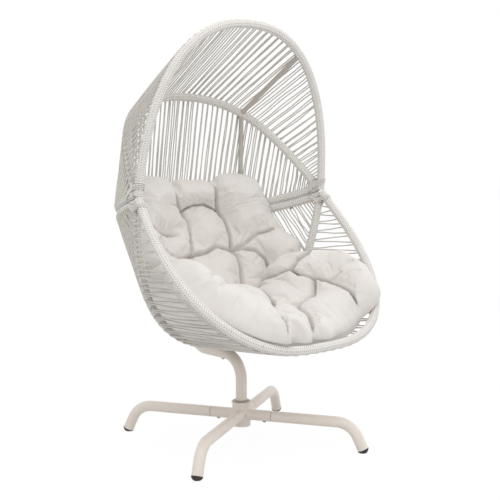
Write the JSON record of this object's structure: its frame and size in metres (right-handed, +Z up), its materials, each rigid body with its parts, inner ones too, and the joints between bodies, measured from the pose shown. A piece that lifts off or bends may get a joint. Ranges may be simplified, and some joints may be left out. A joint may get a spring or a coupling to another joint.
{
  "type": "swivel pod lounge chair",
  "caption": "Pod lounge chair: corded basket and canopy hoops on a gooseneck post that swivels on a splayed tubular base, lined with two tufted cushions.",
  "frame": {"origin": "on the floor, on the swivel axis, at the middle of the four feet", "axes": "+Z up along the swivel axis, +X to the sitter's left, +Y towards the back of the chair, so the sitter faces -Y"},
  "size_m": [0.9762, 0.8732, 1.5528],
  "materials": {
    "winding": "polyester cord wound round steel tube",
    "lacing": "round polyester cord, laced",
    "coat": "satin powder coat, greige",
    "spine": "satin powder coat, taupe grey",
    "rubber": "moulded, matt black",
    "zinc": "zinc plated",
    "nylon": "moulded nylon, natural",
    "linen": "woven cushion cloth, linen grey"
  },
  "bodies": {
    "base": {"base_hub": "coat", "leg_1": "coat", "leg_2": "coat", "leg_3": "coat", "leg_4": "coat", "foot_cap_1": "rubber", "foot_cap_2": "rubber", "foot_cap_3": "rubber", "foot_cap_4": "rubber", "leg_bolt_1": "zinc", "leg_bolt_2": "zinc", "leg_bolt_3": "zinc", "leg_bolt_4": "zinc", "bush_lower": "nylon", "bush_upper": "nylon", "thrust_washer": "nylon"},
    "seat": {"spindle": "zinc", "spindle_keeper": "zinc", "keeper_bolt": "zinc", "gooseneck": "coat", "post_bolt": "zinc", "keel_bolt": "zinc", "mast_bolt": "zinc", "keel_saddle": "coat", "mast_saddle": "coat", "basket_front_rim": "winding", "basket_rail": "winding", "basket_stay": "winding", "canopy_rail": "winding", "canopy_mid_hoop": "winding", "canopy_front_hoop": "winding", "canopy_spine_upper_right": "spine", "canopy_spine_upper_left": "spine", "canopy_spine_lower_right": "spine", "canopy_spine_lower_left": "spine", "rail_bolt_1": "zinc", "rail_bolt_2": "zinc", "rail_bolt_3": "zinc", "rail_bolt_4": "zinc", "canopy_cord_right": "lacing", "canopy_cord_rear_right": "lacing", "canopy_cord_rear_left": "lacing", "canopy_cord_left": "lacing", "back_cord_right": "lacing", "back_cord_rear_right": "lacing", "back_cord_rear_left": "lacing", "back_cord_left": "lacing", "basket_back_cord_right": "lacing", "basket_back_cord_rear_right": "lacing", "basket_back_cord_rear_left": "lacing", "basket_back_cord_left": "lacing", "basket_seat_cord_right": "lacing", "basket_seat_cord_rear_right": "lacing", "basket_seat_cord_rear_left": "lacing", "basket_seat_cord_left": "lacing", "seat_cushion": "linen", "back_cushion": "linen"}
  },
  "joints": [
    {"name": "swivel", "type": "hinge", "parent": "base", "child": "seat", "pos_m": [0, 0, 0], "axis": [0, 0, 1], "continuous": true}
  ]
}
